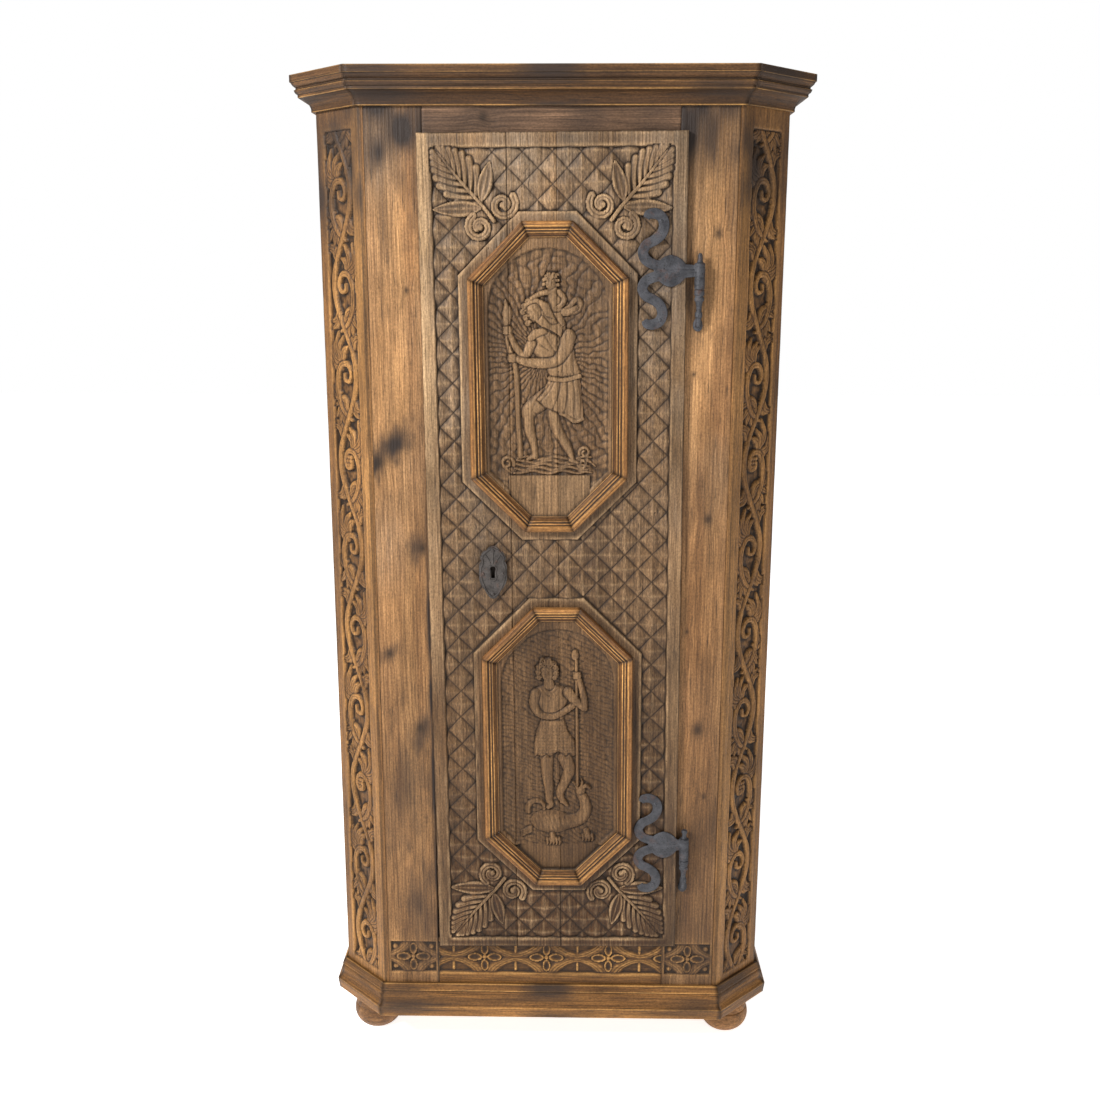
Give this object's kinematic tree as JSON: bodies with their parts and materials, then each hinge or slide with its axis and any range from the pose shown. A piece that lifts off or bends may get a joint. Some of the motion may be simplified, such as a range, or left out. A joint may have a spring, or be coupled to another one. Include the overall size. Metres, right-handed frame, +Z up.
{
  "type": "armoire",
  "caption": "Tall carved wooden armoire with canted corners, a moulded cornice, bun feet, and a carved door on pintle hinges with a sliding-bolt lock.",
  "frame": {"origin": "centre of the bounding box on the floor, under the feet", "axes": "+Z up, +X to the right of a person facing the door, +Y towards the back"},
  "size_m": [0.952, 0.472, 1.92],
  "materials": {
    "carcass_wood": "waxed old softwood, worn, with dark stains",
    "cornice_wood": "waxed, worn bright on the edges",
    "door_wood": "waxed, grey-brown, carved",
    "panel_frame_wood": "waxed, golden with dark open grain",
    "interior_wood": "bare, aged",
    "foot_wood": "waxed, turned",
    "wrought_iron": "forged, blue-black",
    "lock_iron": "forged, dull"
  },
  "bodies": {
    "carcass": {"front_stile_left": "carcass_wood", "front_stile_right": "carcass_wood", "top_rail": "carcass_wood", "bottom_rail": "carcass_wood", "corner_post_left": "carcass_wood", "corner_post_right": "carcass_wood", "side_board_left_front": "carcass_wood", "side_board_left_rear": "carcass_wood", "side_board_right_front": "carcass_wood", "side_board_right_rear": "carcass_wood", "cornice_front": "cornice_wood", "cornice_cant_left": "cornice_wood", "cornice_cant_right": "cornice_wood", "cornice_side_left": "cornice_wood", "cornice_side_right": "cornice_wood", "plinth_front": "cornice_wood", "plinth_cant_left": "cornice_wood", "plinth_cant_right": "cornice_wood", "plinth_side_left": "cornice_wood", "plinth_side_right": "cornice_wood", "back_board_1": "interior_wood", "back_board_2": "interior_wood", "back_board_3": "interior_wood", "back_board_4": "interior_wood", "floor_board_front": "interior_wood", "floor_board_rear": "interior_wood", "roof_board_front": "interior_wood", "roof_board_rear": "interior_wood", "foot_blocks": "interior_wood", "hat_shelf": "interior_wood", "shelf_cleat_left": "interior_wood", "shelf_cleat_right": "interior_wood", "peg_rail": "interior_wood", "coat_pegs": "interior_wood", "foot_front_left": "foot_wood", "foot_front_right": "foot_wood", "foot_rear_left": "foot_wood", "foot_rear_right": "foot_wood", "pintle_upper": "wrought_iron", "pintle_lower": "wrought_iron", "pintle_nails": "wrought_iron", "lock_keeper": "lock_iron"},
    "door": {"door_board_left": "door_wood", "door_board_middle": "door_wood", "door_board_right": "door_wood", "door_batten_upper": "interior_wood", "door_batten_lower": "interior_wood", "panel_frame_upper": "panel_frame_wood", "panel_frame_lower": "panel_frame_wood", "strap_hinge_upper": "wrought_iron", "strap_hinge_lower": "wrought_iron", "strap_nails": "wrought_iron", "batten_nails": "wrought_iron", "escutcheon": "wrought_iron", "escutcheon_pins": "wrought_iron", "lock_plate": "lock_iron", "lock_case": "lock_iron", "lock_spring": "lock_iron"},
    "bolt": {"lock_bolt": "lock_iron"}
  },
  "joints": [
    {"name": "door_swing", "type": "hinge", "parent": "carcass", "child": "door", "pos_m": [0.2665, -0.207, 0.462], "axis": [0, 0, 1], "range_deg": [0, 170]},
    {"name": "bolt_slide", "type": "slide", "parent": "door", "child": "bolt", "axis": [-1, 0, 0], "range_m": [0, 0.028]}
  ]
}
